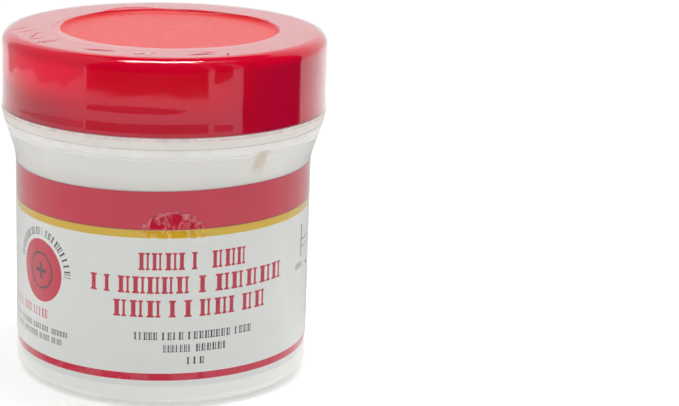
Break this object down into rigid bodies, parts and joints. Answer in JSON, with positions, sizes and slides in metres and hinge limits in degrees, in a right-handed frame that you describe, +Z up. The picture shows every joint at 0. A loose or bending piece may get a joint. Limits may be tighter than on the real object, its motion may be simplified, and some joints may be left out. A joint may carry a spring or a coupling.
{
  "type": "screw-cap powder jar",
  "caption": "Small round plastic jar of powder with a threaded neck, flat red screw cap, lined lid, wrap label and clear shrink sleeve with an open ring on top.",
  "frame": {"origin": "centre of the base, on the surface the jar stands on", "axes": "+Z up along the jar's axis; the label's front faces -Y and its seam is at +Y"},
  "size_m": [0.045, 0.045, 0.0481],
  "materials": {
    "jar_plastic": "satin white polyethylene",
    "cap_plastic": "glossy moulded polypropylene",
    "liner_foam": "smooth closed-cell foam",
    "label_paper": "printed semi-gloss paper",
    "clear_film": "clear glossy shrink film",
    "powder": "fine matte powder"
  },
  "bodies": {
    "jar": {"jar_body": "jar_plastic", "wrap_label": "label_paper", "shrink_film_lower": "clear_film", "powder_fill": "powder"},
    "liner": {"cap_liner": "liner_foam"},
    "cap": {"screw_cap": "cap_plastic"},
    "torn_sleeve": {"shrink_film_upper": "clear_film"}
  },
  "joints": [
    {"name": "cap_lift", "type": "slide", "parent": "jar", "child": "liner", "axis": [0, 0, 1], "range_m": [0, 0.01502]},
    {"name": "cap_turn", "type": "hinge", "parent": "liner", "child": "cap", "pos_m": [0, 0, 0.0375], "axis": [0, 0, 1], "range_deg": [0, 1260]},
    {"name": "sleeve_pull", "type": "slide", "parent": "cap", "child": "torn_sleeve", "axis": [0, 0, 1], "range_m": [0, 0.014]}
  ],
  "couplings": [
    {"joint": "cap_lift", "follows": "cap_turn", "m_per_rad": 0.00067376}
  ]
}
